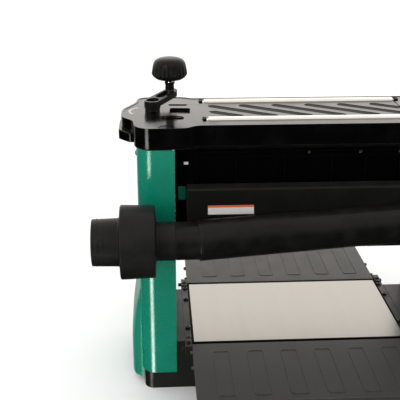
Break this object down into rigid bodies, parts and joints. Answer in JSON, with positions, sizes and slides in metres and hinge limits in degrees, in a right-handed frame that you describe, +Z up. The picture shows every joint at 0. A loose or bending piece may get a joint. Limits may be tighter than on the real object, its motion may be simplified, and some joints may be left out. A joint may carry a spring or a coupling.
{
  "type": "thickness planer",
  "caption": "Bench-top thickness planer: crank-raised cutter head on guide posts over a steel bed, folding extension tables, side dust chute with stepped port.",
  "frame": {"origin": "underside of the base, below the middle of the bed plate", "axes": "+X along the cutterhead towards the belt drive, +Y towards the infeed side, +Z up"},
  "size_m": [0.612, 0.51, 0.5053],
  "materials": {
    "green_paint": "gloss powder-coated sheet",
    "green_plastic": "gloss moulded plastic in the colour of the sheet",
    "gloss_black": "gloss moulded plastic",
    "satin_black": "fine-textured moulded plastic",
    "arm_black": "smooth black paint",
    "black_steel": "black paint",
    "black_casting": "black painted aluminium casting",
    "dark_casting": "dark grey painted aluminium casting",
    "grey_casting": "grey painted casting with raised panels",
    "stainless": "brushed along the feed direction",
    "chrome": "polished",
    "steel": "turned and ground",
    "aluminium": "machined",
    "brass": "machined",
    "rubber": "moulded",
    "red_plastic": "moulded"
  },
  "bodies": {
    "machine": {"base_casting": "dark_casting", "bottom_cover": "steel", "bed_casting": "black_casting", "bed_plate": "stainless", "bed_rail_left": "dark_casting", "bed_rail_right": "dark_casting", "infeed_hinge_rod": "steel", "outfeed_hinge_rod": "steel", "guide_post_crank_outfeed": "steel", "guide_post_crank_infeed": "steel", "guide_post_drive_outfeed": "steel", "guide_post_drive_infeed": "steel", "crank_side_cover": "green_paint", "drive_side_cover": "green_paint", "lower_side_panel_left": "green_plastic", "lower_side_panel_right": "green_plastic", "top_frame": "black_casting", "top_cover": "gloss_black", "carry_handle_left": "satin_black", "carry_handle_right": "satin_black", "lift_chain": "steel", "depth_scale": "aluminium", "switch_box": "satin_black", "cord_gland": "satin_black"},
    "crank": {"crank_arm": "arm_black", "crank_leadscrew": "steel", "crank_sprocket": "steel"},
    "crank_knob": {"crank_knob": "satin_black"},
    "drive_screw": {"drive_leadscrew": "steel", "drive_sprocket": "steel"},
    "head": {"head_left_casting": "black_casting", "head_right_casting": "black_casting", "head_top_plate": "black_casting", "lift_nut_left": "brass", "lift_nut_right": "brass", "rear_hood": "gloss_black", "dust_chute": "satin_black", "dust_adapter": "satin_black", "front_cover": "green_paint", "drive_cover": "satin_black", "motor_housing": "black_steel", "motor_hood": "satin_black", "drive_belt": "rubber", "cutterhead_bearing_left": "steel", "cutterhead_bearing_right": "steel", "chip_deflector": "steel", "height_pointer": "red_plastic"},
    "cutterhead": {"cutterhead": "steel", "cutterhead_pulley": "aluminium"},
    "motor_rotor": {"motor_rotor": "steel"},
    "infeed_roller": {"infeed_feed_roller": "rubber"},
    "outfeed_roller": {"outfeed_feed_roller": "rubber"},
    "near_stock_roller": {"near_stock_roller": "chrome"},
    "far_stock_roller": {"far_stock_roller": "chrome"},
    "infeed_table": {"infeed_table": "grey_casting"},
    "outfeed_table": {"outfeed_table": "grey_casting"},
    "depth_stop": {"depth_stop_knob": "satin_black"},
    "switch_paddle": {"switch_paddle": "red_plastic"},
    "reset_button": {"reset_button": "red_plastic"}
  },
  "joints": [
    {"name": "head_slide", "type": "slide", "parent": "machine", "child": "head", "axis": [0, 0, 1], "range_m": [-0.143, 0.006]},
    {"name": "crank_turn", "type": "hinge", "parent": "machine", "child": "crank", "pos_m": [-0.225, 0.008, 0.43], "axis": [0, 0, 1], "range_deg": [-32436, 1370]},
    {"name": "drive_screw_turn", "type": "hinge", "parent": "machine", "child": "drive_screw", "pos_m": [0.249, 0.008, 0.3], "axis": [0, 0, 1], "range_deg": [-32436, 1370]},
    {"name": "crank_knob_spin", "type": "hinge", "parent": "crank", "child": "crank_knob", "pos_m": [-0.19794, 0.04142, 0.46], "axis": [0, 0, 1], "continuous": true},
    {"name": "cutterhead_spin", "type": "hinge", "parent": "head", "child": "cutterhead", "pos_m": [0, 0, 0.2553], "axis": [1, 0, 0], "continuous": true},
    {"name": "motor_spin", "type": "hinge", "parent": "head", "child": "motor_rotor", "pos_m": [0.13, 0.02, 0.342], "axis": [1, 0, 0], "continuous": true},
    {"name": "infeed_roller_spin", "type": "hinge", "parent": "head", "child": "infeed_roller", "pos_m": [0, 0.052, 0.247], "axis": [1, 0, 0], "continuous": true},
    {"name": "outfeed_roller_spin", "type": "hinge", "parent": "head", "child": "outfeed_roller", "pos_m": [0, -0.052, 0.247], "axis": [1, 0, 0], "continuous": true},
    {"name": "near_stock_roller_spin", "type": "hinge", "parent": "machine", "child": "near_stock_roller", "pos_m": [0, -0.044, 0.427], "axis": [1, 0, 0], "continuous": true},
    {"name": "far_stock_roller_spin", "type": "hinge", "parent": "machine", "child": "far_stock_roller", "pos_m": [0, 0.063, 0.427], "axis": [1, 0, 0], "continuous": true},
    {"name": "infeed_table_fold", "type": "hinge", "parent": "machine", "child": "infeed_table", "pos_m": [0, 0.108, 0.079], "axis": [1, 0, 0], "range_deg": [0, 88]},
    {"name": "outfeed_table_fold", "type": "hinge", "parent": "machine", "child": "outfeed_table", "pos_m": [0, -0.108, 0.079], "axis": [-1, 0, 0], "range_deg": [0, 88]},
    {"name": "depth_stop_turn", "type": "hinge", "parent": "machine", "child": "depth_stop", "pos_m": [0.196, 0.0903, 0.045], "axis": [0, 1, 0], "range_deg": [0, 300]},
    {"name": "switch_paddle_push", "type": "hinge", "parent": "machine", "child": "switch_paddle", "pos_m": [0.2435, 0.1335, 0.349], "axis": [-1, 0, 0], "range_deg": [0, 4.5], "stiffness_Nm_per_rad": 0.05},
    {"name": "reset_button_press", "type": "slide", "parent": "machine", "child": "reset_button", "axis": [0, -1, 0], "range_m": [0, 0.0024], "stiffness_N_per_m": 300}
  ],
  "couplings": [
    {"joint": "crank_turn", "follows": "head_slide", "rad_per_m": 3957.9},
    {"joint": "drive_screw_turn", "follows": "head_slide", "rad_per_m": 3957.9},
    {"joint": "motor_spin", "follows": "cutterhead_spin", "ratio": 1.6667},
    {"joint": "infeed_roller_spin", "follows": "cutterhead_spin", "ratio": -0.0083333},
    {"joint": "outfeed_roller_spin", "follows": "cutterhead_spin", "ratio": -0.0083333}
  ]
}
